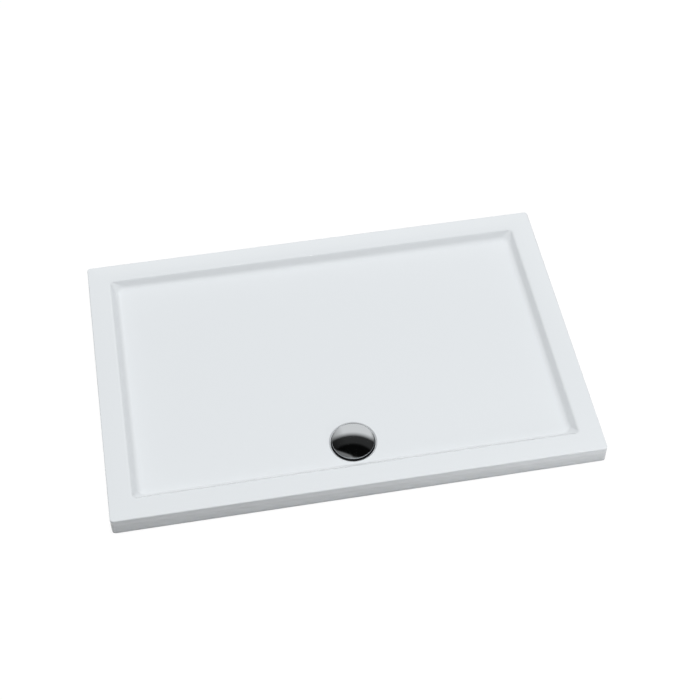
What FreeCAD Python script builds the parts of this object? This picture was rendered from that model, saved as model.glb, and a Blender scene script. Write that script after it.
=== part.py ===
import FreeCAD, Part
import os
import re

import Sketcher

# Low rectangular shower tray. A white acrylic sheet is drawn down into a shallow basin with a flat rim
# and a skirt on all four sides. Glass-fibre laminate backs it, a particle board stiffens its floor,
# timber battens stiffen its rim, and a 90 mm waste with a domed cover drains it.
# +X runs along the long side, -Y points to the side with the waste, and Z = 0 is the floor it stands on.

SIZES = {
    "tray_length": (1200, "overall length"),
    "tray_width": (800, "overall width"),
    "corner_radius": (9, "upright outer corners"),
    "outer_edge_radius": (3, "top outer edge, all round"),
    "rim_width": (56, "outer face to the inner edge of the rim"),
    "wall_run": (17, "how far the basin wall leans in"),
    "wall_height": (20, "height over which it leans in that far"),
    "basin_corner_radius": (10, "basin corners at the rim"),
    "low_corner_radius": (28, "basin corners at the wall's lowest level"),
    "rim_edge_radius": (5, "roll from the rim into the wall"),
    "foot_radius": (12, "hollow between the wall and the basin floor"),
    "waste_depth": (24, "rim down to the basin floor beside the waste"),
    "fall_percent": (0.7, "fall of the basin floor towards the waste"),
    "sheet_thickness": (4, "acrylic"),
    "laminate_thickness": (2, "glass-fibre laminate behind the acrylic"),
    "laminate_trim": (6, "lower edge of the laminate inside the skirt"),
    "waste_margin": (7.6, "foot of the front wall to the recess round the waste"),
    "waste_shift": (0, "waste's axis from the middle of the length"),
    "recess_run": (3, "how far the side of that recess leans in"),
    "recess_depth": (5, "recess below the basin floor"),
    "recess_edge_radius": (2, "roll from the basin floor into the recess"),
    "waste_hole_radius": (45, "hole for a 90 mm waste"),
    "board_margin": (27, "board's edge to the foot of the basin wall"),
    "board_thickness": (12, "particle board under the basin floor"),
    "tool_room": (11, "back nut's lugs to the board round the waste"),
    "skin_thickness": (1.5, "laminate over the board's underside"),
    "skin_lap": (16, "lap of that laminate beyond the board"),
    "batten_thickness": (20, "timber batten under the rim"),
    "batten_gap": (1, "batten to the skirt, the wall and the next batten"),
    "batten_chamfer": (2, "eased lower edges of a batten"),
    "pad_height": (6.5, "bearing pad between the board and the floor"),
    "pad_radius": (28, "bearing pad"),
    "pad_chamfer": (1, "eased lower edge of a pad"),
    "pad_inset_long": (80, "outer pads from the board's ends"),
    "pad_inset_wide": (70, "pads from the board's long edges"),
    "screw_radius": (2, "shank of a pad's screw"),
    "screw_head_radius": (4, "countersunk head"),
    "screw_head_height": (2.2, "countersunk head"),
    "screw_length": (14, "head and shank together"),
    "screw_tip": (3, "pointed end"),
    "screw_recess": (1.5, "head above the pad's lower face"),
    "screw_clearance": (0.05, "screw in its holes"),
    "tube_clearance": (1.5, "waste tube in the tray's hole"),
    "tube_wall": (2.5, "waste tube"),
    "tube_foot": (0.5, "lower end of the tube above the floor"),
    "spigot_step": (1, "tube's spigot for the trap, inside the thread"),
    "flange_reach": (10, "waste flange beyond the tray's hole"),
    "flange_inset": (1, "waste flange to the foot of the recess's side"),
    "flange_thickness": (1.5, "waste flange"),
    "mouth_radius": (1.2, "roll from the flange into the tube"),
    "gasket_inset": (1, "flat gaskets inside the flange and outside the hole"),
    "gasket_thickness": (2, "both flat gaskets"),
    "washer_thickness": (1, "slip washer above the back nut"),
    "ledge_drop": (14.5, "flange down to the ledge that carries the strainer"),
    "ledge_thickness": (5, "that ledge"),
    "ledge_width": (8, "that ledge, inside the tube"),
    "nut_width": (11, "back nut beyond the tray's hole"),
    "nut_height": (6, "back nut"),
    "nut_clearance": (0.1, "back nut round the tube"),
    "nut_lugs": (8, "number of lugs on the back nut"),
    "lug_reach": (3, "lug beyond the back nut"),
    "lug_root": (2, "lug inside the back nut"),
    "lug_width": (10, "lug"),
    "basket_gap": (0.5, "strainer basket's rim in the tube"),
    "basket_rim_height": (2, "strainer basket's rim"),
    "basket_clearance": (0.4, "basket's cup in the ledge"),
    "basket_wall": (4, "basket's cup"),
    "basket_drop": (7, "basket's cup below its rim"),
    "basket_floor": (2, "bottom of the basket"),
    "slot_count": (12, "slots in the bottom of the basket"),
    "slot_width": (4, "slot"),
    "slot_start": (10, "inner end of a slot from the middle"),
    "slot_margin": (3, "outer end of a slot to the basket's wall"),
    "tab_width": (12, "lifting tab on the basket's rim"),
    "tab_thickness": (2.5, "lifting tab"),
    "tab_height": (8, "lifting tab above the rim"),
    "tab_gap": (1, "lifting tab inside the rim's edge"),
    "seal_section_radius": (1.25, "O-ring round the basket's cup"),
    "seal_clearance": (0.05, "O-ring to the ledge and to its groove"),
    "seal_play": (0.1, "O-ring to each side of its groove"),
    "cover_inset": (2.5, "cover's edge inside the flange's edge"),
    "cover_gap": (2, "water gap between the flange and the cover"),
    "cover_band": (4.5, "upright band round the cover"),
    "cover_rise": (5.5, "dome above its band"),
    "cover_sheet": (1, "metal of the cover"),
    "cover_lip": (3, "lip turned in under the cover"),
    "cover_roll_radius": (3.6, "roll from the band into the dome"),
    "carrier_thickness": (1.2, "plate inside the cover"),
    "carrier_clearance": (0.3, "plate inside the cover's band"),
    "window_count": (6, "windows in the plate"),
    "window_start": (12, "window from the middle of the plate"),
    "window_margin": (5, "window to the legs"),
    "window_rib": (5, "rib between two windows"),
    "leg_count": (4, "legs below the plate"),
    "leg_width": (11, "leg"),
    "leg_thickness": (3.5, "leg"),
    "leg_clearance": (0.4, "leg inside the tube"),
    "leg_turn": (45, "degrees, legs turned away from the lifting tabs"),
}

# Levels above the floor, from the bearing pads up to the rim.
SKIN_LOW = "(pad_height)"
BOARD_LOW = "(pad_height + skin_thickness)"
BOARD_TOP = "(pad_height + skin_thickness + board_thickness)"
BACKING = "(sheet_thickness + laminate_thickness)"
FLOOR_LEVEL = f"({BOARD_TOP} + {BACKING})"
RIM_LEVEL = f"({FLOOR_LEVEL} + waste_depth)"
RECESS_LEVEL = f"({FLOOR_LEVEL} - recess_depth)"
CLAMP_LEVEL = f"({RECESS_LEVEL} - {BACKING})"
FORMER_LOW = f"({CLAMP_LEVEL} - laminate_thickness)"
FLANGE_LOW = f"({RECESS_LEVEL} + gasket_thickness)"
FLANGE_TOP = f"({FLANGE_LOW} + flange_thickness)"
LEDGE_TOP = f"({FLANGE_TOP} - ledge_drop)"
BASKET_TOP = f"({LEDGE_TOP} + basket_rim_height)"
SEAL_LEVEL = f"({LEDGE_TOP} - ledge_thickness / 2)"
LOWER_GASKET_LOW = f"({CLAMP_LEVEL} - gasket_thickness)"
NUT_TOP = f"({LOWER_GASKET_LOW} - washer_thickness)"
NUT_LOW = f"({NUT_TOP} - nut_height)"
COVER_LOW = f"({FLANGE_TOP} + cover_gap)"
CARRIER_LOW = f"({COVER_LOW} + cover_sheet)"

# Plan sizes that more than one piece shares.
FLANGE_RADIUS = "(waste_hole_radius + flange_reach)"
RECESS_RADIUS = f"({FLANGE_RADIUS} + flange_inset + recess_run)"
WALL_FOOT = "(rim_width + waste_depth * wall_run / wall_height)"
WASTE_Y = f"({WALL_FOOT} + waste_margin + {RECESS_RADIUS} - tray_width / 2)"
BOARD_HALF_LENGTH = "(tray_length / 2 - rim_width - wall_run - board_margin)"
BOARD_HALF_WIDTH = "(tray_width / 2 - rim_width - wall_run - board_margin)"
PAD_REACH_LONG = f"({BOARD_HALF_LENGTH} - pad_inset_long)"
PAD_REACH_WIDE = f"({BOARD_HALF_WIDTH} - pad_inset_wide)"
WALL_GROWTH = "tan(atan(wall_height / wall_run) / 2)"
RECESS_GROWTH = "tan(atan(recess_depth / recess_run) / 2)"
BATTEN_WIDTH = f"(rim_width - {BACKING} * (1 + {WALL_GROWTH}) - 2 * batten_gap)"
TUBE_RADIUS = "(waste_hole_radius - tube_clearance)"
TUBE_BORE = f"({TUBE_RADIUS} - tube_wall)"
SPIGOT_RADIUS = f"({TUBE_RADIUS} - spigot_step)"
GASKET_BORE = "(waste_hole_radius + gasket_inset)"
GASKET_RADIUS = f"({FLANGE_RADIUS} - gasket_inset)"
NUT_RADIUS = "(waste_hole_radius + nut_width)"
NOTCH_RADIUS = f"({NUT_RADIUS} + lug_reach + tool_room)"
LEDGE_RADIUS = f"({TUBE_BORE} - ledge_width)"
CUP_RADIUS = f"({LEDGE_RADIUS} - basket_clearance)"
CUP_BORE = f"({CUP_RADIUS} - basket_wall)"
BASKET_RADIUS = f"({TUBE_BORE} - basket_gap)"
SEAL_RADIUS = f"({LEDGE_RADIUS} - seal_clearance - seal_section_radius)"
GROOVE_RADIUS = f"({SEAL_RADIUS} - seal_section_radius - seal_clearance)"
GROOVE_HALF = "(seal_section_radius + seal_play)"
COVER_RADIUS = f"({FLANGE_RADIUS} - cover_inset)"
SCREW_HOLE = "(screw_radius + screw_clearance)"
LEG_RADIUS = f"({TUBE_BORE} - leg_clearance)"

FULL_TURN = 360
SAME_PLACE = 0.01
EDGE_REACH = 1
PAD_ROWS = {"front": "-1", "rear": "1"}
PAD_COLUMNS = {"left_end": "-1", "left": "-1 / 3", "right": "1 / 3", "right_end": "1"}

doc = FreeCAD.newDocument("ShowerTray")
sheet = doc.addObject("Spreadsheet::Sheet", "dims")
for row, (alias, (number, note)) in enumerate(SIZES.items(), start=1):
    sheet.set(f"A{row}", alias)
    sheet.set(f"B{row}", str(number))
    sheet.setAlias(f"B{row}", alias)
    sheet.set(f"C{row}", note)
doc.recompute()


# ---------------------------------------------------------------- formulas, sketches and features


def tie(formula):
    """The formula with each size's name pointing at its cell."""
    return re.sub(r"[a-z_]+", lambda word: f"dims.{word[0]}" if word[0] in SIZES else word[0], formula)


def number_of(formula):
    """What the formula comes to now, as a plain number."""
    found = sheet.evalExpression(tie(formula))
    return float(getattr(found, "Value", found))


def bind(thing, **formulas):
    """Ties properties to formulas. A double underscore in a name stands for a dot."""
    for name, formula in formulas.items():
        thing.setExpression(name.replace("__", "."), tie(formula))


def place(thing, along="0", across="0", up="0"):
    bind(thing, Placement__Base__x=along, Placement__Base__y=across, Placement__Base__z=up)


def new_body(label):
    body = doc.addObject("PartDesign::Body", label)
    body.Label = label
    return body


def origin_part(body, role):
    """The body's own origin plane or axis of that role."""
    return next(one for one in body.Origin.OriginFeatures if one.Role == role)


def new_sketch(body, role="XY_Plane", lift="0", shift="0"):
    """A sketch on one of the body's origin planes, lifted off it and shifted along its own first axis."""
    sketch = body.newObject("Sketcher::SketchObject", f"{body.Label}_sketch")
    sketch.AttachmentSupport = [(origin_part(body, role), "")]
    sketch.MapMode = "FlatFace"
    bind(sketch, AttachmentOffset__Base__z=lift, AttachmentOffset__Base__x=shift)
    return sketch


def hold(sketch, edge, end, across, up):
    """Holds one end of an edge at a place given by two formulas."""
    for kind, axis, formula in (("DistanceX", -2, across), ("DistanceY", -1, up)):
        if formula == "0":
            sketch.addConstraint(Sketcher.Constraint("PointOnObject", edge, end, axis))
            continue
        held = sketch.addConstraint(Sketcher.Constraint(kind, -1, 1, edge, end, number_of(formula)))
        sketch.setExpression(f"Constraints[{held}]", tie(formula))


def arc_about(middle, low, top):
    """The arc from low to top about that middle, seen as a turn to the left."""
    radius = (top - middle).Length
    halfway = (low - middle) + (top - middle)
    return Part.Arc(low, middle + halfway.normalize() * radius, top)


def draw_outline(sketch, corners, domes=()):
    """Straight edges through the corners, closed. An edge named in domes is an arc about the upright
    axis that rises to the left, whichever way the outline runs along it."""
    first = sketch.GeometryCount
    spots = [FreeCAD.Vector(number_of(across), number_of(up), 0) for across, up in corners]
    ends = []
    for index, start in enumerate(spots):
        finish = spots[(index + 1) % len(spots)]
        falls = start.y > finish.y
        if index in domes:
            top, low = (start, finish) if falls else (finish, start)
            rise = top.y - low.y
            middle = FreeCAD.Vector(0, top.y - (low.x**2 + rise**2) / (2 * rise), 0)
            sketch.addGeometry(arc_about(middle, low, top), False)
        else:
            sketch.addGeometry(Part.LineSegment(start, finish), False)
        ends.append((2, 1) if index in domes and falls else (1, 2))
    for index, (across, up) in enumerate(corners):
        after = (index + 1) % len(corners)
        meeting = (first + index, ends[index][1], first + after, ends[after][0])
        sketch.addConstraint(Sketcher.Constraint("Coincident", *meeting))
        hold(sketch, first + index, ends[index][0], across, up)
    for index in domes:
        sketch.addConstraint(Sketcher.Constraint("PointOnObject", first + index, 3, -2))


def draw_rounded_rectangle(sketch, half_length, half_width, radius):
    """A rectangle about the sketch's origin with four equal round corners."""
    first = sketch.GeometryCount
    long, wide, round_by = (number_of(formula) for formula in (half_length, half_width, radius))
    bend_x, bend_y = long - round_by, wide - round_by
    spots = [(-bend_x, -wide), (bend_x, -wide), (long, -bend_y), (long, bend_y),
             (bend_x, wide), (-bend_x, wide), (-long, bend_y), (-long, -bend_y)]
    spots = [FreeCAD.Vector(across, up, 0) for across, up in spots]
    middles = [(bend_x, -bend_y), (bend_x, bend_y), (-bend_x, bend_y), (-bend_x, -bend_y)]
    for side, (across, up) in enumerate(middles):
        start, finish, beyond = (spots[(2 * side + step) % len(spots)] for step in range(3))
        sketch.addGeometry(Part.LineSegment(start, finish), False)
        sketch.addGeometry(arc_about(FreeCAD.Vector(across, up, 0), finish, beyond), False)
    count = len(spots)
    for edge in range(count):
        after = first + (edge + 1) % count
        sketch.addConstraint(Sketcher.Constraint("Tangent", first + edge, 2, after, 1))
    for edge, direction in ((0, "Horizontal"), (2, "Vertical"), (4, "Horizontal"), (6, "Vertical")):
        sketch.addConstraint(Sketcher.Constraint(direction, first + edge))
    for edge in (3, 5, 7):
        sketch.addConstraint(Sketcher.Constraint("Equal", first + 1, first + edge))
    reaches = (("Radius", (first + 1,), radius), ("DistanceX", (-1, 1, first + 2, 1), half_length),
               ("DistanceX", (-1, 1, first + 6, 1), f"-1 * {half_length}"),
               ("DistanceY", (-1, 1, first + 4, 1), half_width),
               ("DistanceY", (-1, 1, first, 1), f"-1 * {half_width}"))
    for kind, where, formula in reaches:
        held = sketch.addConstraint(Sketcher.Constraint(kind, *where, number_of(formula)))
        sketch.setExpression(f"Constraints[{held}]", tie(formula))


def draw_circle(sketch, radius, across="0", up="0"):
    middle = FreeCAD.Vector(number_of(across), number_of(up), 0)
    ring = sketch.addGeometry(Part.Circle(middle, FreeCAD.Vector(0, 0, 1), number_of(radius)), False)
    held = sketch.addConstraint(Sketcher.Constraint("Radius", ring, number_of(radius)))
    sketch.setExpression(f"Constraints[{held}]", tie(radius))
    hold(sketch, ring, 3, across, up)


def pad(body, sketch, length):
    """Adds the sketch's area, upwards."""
    feature = body.newObject("PartDesign::Pad", f"{body.Label}_pad")
    feature.Profile = sketch
    bind(feature, Length=length)
    return feature


def pocket(body, sketch, length):
    """Cuts the sketch's area, downwards."""
    feature = body.newObject("PartDesign::Pocket", f"{body.Label}_pocket")
    feature.Profile = sketch
    bind(feature, Length=length)
    return feature


def turn(body, corners, kind="Revolution", domes=(), sketch=None):
    """Turns an outline of radius and level once round the sketch's upright axis, to add it or cut it."""
    sketch = sketch or new_sketch(body, "XZ_Plane")
    draw_outline(sketch, corners, domes)
    feature = body.newObject(f"PartDesign::{kind}", f"{body.Label}_turned")
    feature.Profile = sketch
    feature.ReferenceAxis = (sketch, ["V_Axis"])
    feature.Angle = FULL_TURN
    return feature


def repeat_round(body, feature, count):
    """Repeats one feature evenly about the body's upright axis."""
    pattern = body.newObject("PartDesign::PolarPattern", f"{body.Label}_pattern")
    pattern.Originals = [feature]
    pattern.Axis = (origin_part(body, "Z_Axis"), [""])
    pattern.Angle = FULL_TURN
    bind(pattern, Occurrences=count)
    body.Tip = pattern
    return pattern


def ease(body, size, chosen, kind="Fillet"):
    """Rounds or chamfers the tip's edges that the test chosen picks by their box."""
    doc.recompute()
    tip = body.Tip
    names = [f"Edge{index}" for index, edge in enumerate(tip.Shape.Edges, start=1) if chosen(edge.BoundBox)]
    feature = body.newObject(f"PartDesign::{kind}", f"{body.Label}_{kind.lower()}")
    feature.Base = (tip, names)
    bind(feature, **{"Radius" if kind == "Fillet" else "Size": size})
    return feature


def near(first, second, within=SAME_PLACE):
    return abs(first - second) < within


def at_level(formula, inside=None, outside=None):
    """Picks flat edges at that level. Their reach from the body's axis can be bounded by two formulas."""
    level = number_of(formula)
    least = number_of(outside) if outside else 0
    most = number_of(inside) if inside else float("inf")

    def chosen(box):
        reach = max(abs(box.XMin), abs(box.XMax))
        return near(box.ZMin, level) and near(box.ZMax, level) and least <= reach <= most

    return chosen


# ---------------------------------------------------------------- the drawn sheet and its backing


def basin_former(body, offset, falls, bore):
    """The body that fills the basin, as seen from below a layer that lies offset under the finished face:
    leaning walls, and under them a floor that falls to the waste, the recess and the waste's hole."""
    growth = f"{offset} * {WALL_GROWTH}"
    shrink = f"({RIM_LEVEL} - {offset} - {FORMER_LOW}) * wall_run / wall_height"
    rings = []
    for level, lean, corner in ((f"{RIM_LEVEL} - {offset}", "0", "basin_corner_radius"),
                                (FORMER_LOW, shrink, "low_corner_radius")):
        ring = new_sketch(body, lift=level)
        inset = f"rim_width - {growth} + {lean}"
        draw_rounded_rectangle(ring, f"(tray_length / 2 - ({inset}))", f"(tray_width / 2 - ({inset}))",
                               f"({corner} + {growth})")
        rings.append(ring)
    walls = body.newObject("PartDesign::AdditiveLoft", f"{body.Label}_walls")
    walls.Profile = rings[0]
    walls.Sections = [rings[1]]
    walls.Ruled = True

    edge = f"({RECESS_RADIUS} + {offset} * {RECESS_GROWTH})"
    rise = f"fall_percent / 100 * (tray_length - {edge})" if falls else "0"
    below = f"({FORMER_LOW} - laminate_thickness)"
    under = [(bore, f"{RECESS_LEVEL} - {offset}"), (f"{edge} - recess_run", f"{RECESS_LEVEL} - {offset}"),
             (edge, f"{FLOOR_LEVEL} - {offset}"), ("tray_length", f"{FLOOR_LEVEL} - {offset} + {rise}"),
             ("tray_length", below), (bore, below)]
    axis_sketch = new_sketch(body, "XZ_Plane", lift=f"-1 * {WASTE_Y}", shift="waste_shift")
    turn(body, under, "Groove", sketch=axis_sketch)


def tray_layer(label, above, thickness, trim, falls):
    """One layer of the tray: rim, skirt and basin, of even thickness, under what lies above it."""
    below = f"({above} + {thickness})"
    body = new_body(label)
    basin_former(body, below, falls, "0")

    rim = new_sketch(body, lift=f"{RIM_LEVEL} - {below}")
    outer = ("(tray_length / 2 - {0})", "(tray_width / 2 - {0})", "(corner_radius - {0})")
    draw_rounded_rectangle(rim, *(formula.format(above) for formula in outer))
    pad(body, rim, thickness)

    skirt = new_sketch(body, lift=trim)
    draw_rounded_rectangle(skirt, *(formula.format(above) for formula in outer))
    draw_rounded_rectangle(skirt, *(formula.format(below) for formula in outer))
    pad(body, skirt, f"{RIM_LEVEL} - {below} - {trim}")

    former = new_body(f"{label}_former")
    basin_former(former, above, True, "waste_hole_radius")
    hollow = body.newObject("PartDesign::Boolean", f"{label}_hollow")
    hollow.Type = "Cut"
    hollow.setObjects([former])
    body.Tip = hollow
    return body


def tray_shell():
    """The acrylic sheet, with its soft edges: the rim's outer edge, its roll into the basin, the hollow
    along the foot of the walls and the roll into the waste's recess."""
    body = tray_layer("tray_shell", "0", "sheet_thickness", "0", True)
    half_length, rim_level = number_of("tray_length / 2"), number_of(RIM_LEVEL)
    basin_edge = number_of("tray_length / 2 - rim_width")
    floor_level = number_of(FLOOR_LEVEL)
    floor_top = floor_level + number_of("fall_percent / 100 * tray_length")
    waste_y, recess = number_of(WASTE_Y), number_of(RECESS_RADIUS)

    def reach(box):
        return max(-box.XMin, box.XMax)

    def on_outer_edge(box):
        return near(box.ZMin, rim_level) and reach(box) > basin_edge + EDGE_REACH

    def on_basin_edge(box):
        return near(box.ZMin, rim_level) and reach(box) <= basin_edge + EDGE_REACH

    def round_the_waste(box):
        return near(max(abs(box.YMin - waste_y), abs(box.YMax - waste_y)), recess, EDGE_REACH)

    def on_foot(box):
        low = floor_level - EDGE_REACH < box.ZMin and box.ZMax < floor_top
        return low and not round_the_waste(box) and reach(box) < half_length - EDGE_REACH

    def on_recess(box):
        return near(box.ZMin, floor_level) and near(box.ZMax, floor_level) and round_the_waste(box)

    ease(body, "foot_radius", on_foot)
    ease(body, "rim_edge_radius", on_basin_edge)
    ease(body, "outer_edge_radius", on_outer_edge)
    ease(body, "recess_edge_radius", on_recess)
    return body


def laminate_backing():
    """Glass-fibre laminate on the back of the sheet, levelled flat where the board is bedded in it."""
    return tray_layer("laminate_backing", "sheet_thickness", "laminate_thickness", "laminate_trim", False)


# ---------------------------------------------------------------- stiffening


def draw_board(sketch, growth, notch):
    """The board's outline, grown all round, with a round-ended notch from the front edge to the waste."""
    long, wide = f"({BOARD_HALF_LENGTH} + {growth})", f"({BOARD_HALF_WIDTH} + {growth})"
    left, right = f"(waste_shift - {notch})", f"(waste_shift + {notch})"
    corners = [(f"-1 * {long}", f"-1 * {wide}"), (left, f"-1 * {wide}"), (left, WASTE_Y), (right, WASTE_Y),
               (right, f"-1 * {wide}"), (long, f"-1 * {wide}"), (long, wide), (f"-1 * {long}", wide)]
    round_end = corners.index((left, WASTE_Y))
    spots = [FreeCAD.Vector(number_of(across), number_of(up), 0) for across, up in corners]
    middle = FreeCAD.Vector(number_of("waste_shift"), number_of(WASTE_Y), 0)
    count = len(spots)
    for index, start in enumerate(spots):
        finish = spots[(index + 1) % count]
        if index == round_end:
            top = FreeCAD.Vector(middle.x, middle.y + number_of(notch), 0)
            sketch.addGeometry(Part.Arc(finish, top, start), False)
        else:
            sketch.addGeometry(Part.LineSegment(start, finish), False)
    ends = [(2, 1) if index == round_end else (1, 2) for index in range(count)]
    for index, (across, up) in enumerate(corners):
        after = (index + 1) % count
        sketch.addConstraint(Sketcher.Constraint("Coincident", index, ends[index][1], after, ends[after][0]))
        hold(sketch, index, ends[index][0], across, up)
    held = sketch.addConstraint(Sketcher.Constraint("DistanceY", -1, 1, round_end, 3, middle.y))
    sketch.setExpression(f"Constraints[{held}]", tie(WASTE_Y))


def draw_screw_holes(sketch):
    for row in PAD_ROWS.values():
        for column in PAD_COLUMNS.values():
            draw_circle(sketch, SCREW_HOLE, f"{PAD_REACH_LONG} * ({column})", f"{PAD_REACH_WIDE} * ({row})")


def base_board():
    """Sawn particle board bedded under the basin floor, drilled for the pads' screws."""
    body = new_body("base_board")
    outline = new_sketch(body, lift=BOARD_LOW)
    draw_board(outline, "0", NOTCH_RADIUS)
    pad(body, outline, "board_thickness")
    holes = new_sketch(body, lift="screw_recess + screw_length + screw_clearance")
    draw_screw_holes(holes)
    pocket(body, holes, f"screw_recess + screw_length + screw_clearance - {BOARD_LOW}")
    return body


def board_laminate():
    """Laminate over the board's underside and edges, with a lap that bonds it to the backing."""
    body = new_body("board_laminate")
    notch = f"({NOTCH_RADIUS} - skin_thickness)"
    lap = new_sketch(body, lift=f"{BOARD_TOP} - skin_thickness")
    draw_board(lap, "(skin_thickness + skin_lap)", notch)
    pad(body, lap, "skin_thickness")
    cup = new_sketch(body, lift=SKIN_LOW)
    draw_board(cup, "skin_thickness", notch)
    pad(body, cup, f"{BOARD_TOP} - {SKIN_LOW}")
    seat = new_sketch(body, lift=BOARD_TOP)
    draw_board(seat, "0", NOTCH_RADIUS)
    pocket(body, seat, "board_thickness")
    holes = new_sketch(body, lift=BOARD_LOW)
    draw_screw_holes(holes)
    pocket(body, holes, "skin_thickness")
    return body


def rim_batten(label, half_length, half_width, along, across):
    """Timber batten bonded under the rim, with its two lower long edges eased."""
    body = new_body(label)
    section = new_sketch(body, lift=f"{RIM_LEVEL} - {BACKING} - batten_thickness")
    corners = [(f"-1 * {half_length}", f"-1 * {half_width}"), (half_length, f"-1 * {half_width}"),
               (half_length, half_width), (f"-1 * {half_length}", half_width)]
    draw_outline(section, corners)
    pad(body, section, "batten_thickness")
    low = number_of(f"{RIM_LEVEL} - {BACKING} - batten_thickness")
    longest = 2 * max(number_of(half_length), number_of(half_width))

    def long_lower_edge(box):
        return near(box.ZMax, low) and near(box.DiagonalLength, longest)

    ease(body, "batten_chamfer", long_lower_edge, "Chamfer")
    place(body, along, across)
    return body


def rim_battens():
    """One batten along each side of the rim. The end ones stand between the long ones."""
    inset = f"({BACKING} + batten_gap)"
    half_width = f"({BATTEN_WIDTH} / 2)"
    long_half = f"(tray_length / 2 - {BACKING} - corner_radius)"
    short_half = f"(tray_width / 2 - {inset} - {BATTEN_WIDTH} - batten_gap)"
    to_side = f"(tray_width / 2 - {inset} - {half_width})"
    to_end = f"(tray_length / 2 - {inset} - {half_width})"
    return [
        rim_batten("rim_batten_front", long_half, half_width, "0", f"-1 * {to_side}"),
        rim_batten("rim_batten_rear", long_half, half_width, "0", to_side),
        rim_batten("rim_batten_left", half_width, short_half, f"-1 * {to_end}", "0"),
        rim_batten("rim_batten_right", half_width, short_half, to_end, "0"),
    ]


# ---------------------------------------------------------------- bearing pads


def support_pad(label, along, across):
    """Round rubber pad with a countersunk hole, on which the board bears on the floor."""
    body = new_body(label)
    head = "(screw_head_radius + screw_clearance)"
    turn(body, [(SCREW_HOLE, "pad_height"), ("pad_radius", "pad_height"), ("pad_radius", "pad_chamfer"),
                ("pad_radius - pad_chamfer", "0"), (head, "0"), (head, "screw_recess"),
                (SCREW_HOLE, "screw_recess + screw_head_height")])
    place(body, along, across)
    return body


def support_pads():
    pads = []
    for row, across in PAD_ROWS.items():
        for column, along in PAD_COLUMNS.items():
            where = (f"{PAD_REACH_LONG} * ({along})", f"{PAD_REACH_WIDE} * ({across})")
            pads.append(support_pad(f"support_pad_{row}_{column}", *where))
    return pads


def pad_screws():
    """Countersunk wood screws, one up through the middle of each pad: a row of them, and its mirror image."""
    body = new_body("pad_screws")
    corner = new_sketch(body, "XZ_Plane", lift=PAD_REACH_WIDE, shift=f"-1 * {PAD_REACH_LONG}")
    screw = turn(body, [("0", "screw_recess"), ("screw_head_radius", "screw_recess"),
                        ("screw_radius", "screw_recess + screw_head_height"),
                        ("screw_radius", "screw_recess + screw_length - screw_tip"),
                        ("0", "screw_recess + screw_length")], sketch=corner)
    row = doc.addObject("PartDesign::LinearPattern", "pad_screws_row")
    row.Direction = (origin_part(body, "X_Axis"), [""])
    row.Occurrences = len(PAD_COLUMNS)
    bind(row, Length=f"2 * {PAD_REACH_LONG}")
    mirror = doc.addObject("PartDesign::Mirrored", "pad_screws_mirror")
    mirror.MirrorPlane = (origin_part(body, "XZ_Plane"), [""])
    grid = body.newObject("PartDesign::MultiTransform", "pad_screws_grid")
    grid.Originals = [screw]
    grid.Transformations = [row, mirror]
    body.Tip = grid
    return body


# ---------------------------------------------------------------- the waste


def at_waste(body):
    place(body, "waste_shift", WASTE_Y)
    return body


def waste_flange():
    """Flange, tube and the trap's spigot in one moulding, with a ledge inside for the strainer."""
    body = new_body("waste_flange")
    turn(body, [(TUBE_BORE, "tube_foot"), (SPIGOT_RADIUS, "tube_foot"), (SPIGOT_RADIUS, NUT_LOW),
                (TUBE_RADIUS, NUT_LOW), (TUBE_RADIUS, FLANGE_LOW), (FLANGE_RADIUS, FLANGE_LOW),
                (FLANGE_RADIUS, FLANGE_TOP), (TUBE_BORE, FLANGE_TOP), (TUBE_BORE, LEDGE_TOP),
                (LEDGE_RADIUS, LEDGE_TOP), (LEDGE_RADIUS, f"{LEDGE_TOP} - ledge_thickness"),
                (TUBE_BORE, f"{LEDGE_TOP} - ledge_thickness")])
    ease(body, "mouth_radius", at_level(FLANGE_TOP, inside=f"{TUBE_BORE} + mouth_radius"))
    ease(body, "flange_thickness / 2", at_level(FLANGE_TOP, outside=f"{FLANGE_RADIUS} - mouth_radius"))
    return at_waste(body)


def flat_ring(label, bore, radius, low, thickness):
    body = new_body(label)
    turn(body, [(bore, low), (radius, low), (radius, f"{low} + {thickness}"), (bore, f"{low} + {thickness}")])
    return at_waste(body)


def back_nut():
    """Ring nut with lugs that draws the flange down on the tray."""
    body = new_body("back_nut")
    bore = f"({TUBE_RADIUS} + nut_clearance)"
    turn(body, [(bore, NUT_LOW), (NUT_RADIUS, NUT_LOW), (NUT_RADIUS, NUT_TOP), (bore, NUT_TOP)])
    lug = new_sketch(body, lift=NUT_LOW)
    draw_outline(lug, [(f"{NUT_RADIUS} - lug_root", "-1 * lug_width / 2"),
                       (f"{NUT_RADIUS} + lug_reach", "-1 * lug_width / 2"),
                       (f"{NUT_RADIUS} + lug_reach", "lug_width / 2"),
                       (f"{NUT_RADIUS} - lug_root", "lug_width / 2")])
    repeat_round(body, pad(body, lug, "nut_height"), "nut_lugs")
    return at_waste(body)


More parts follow.
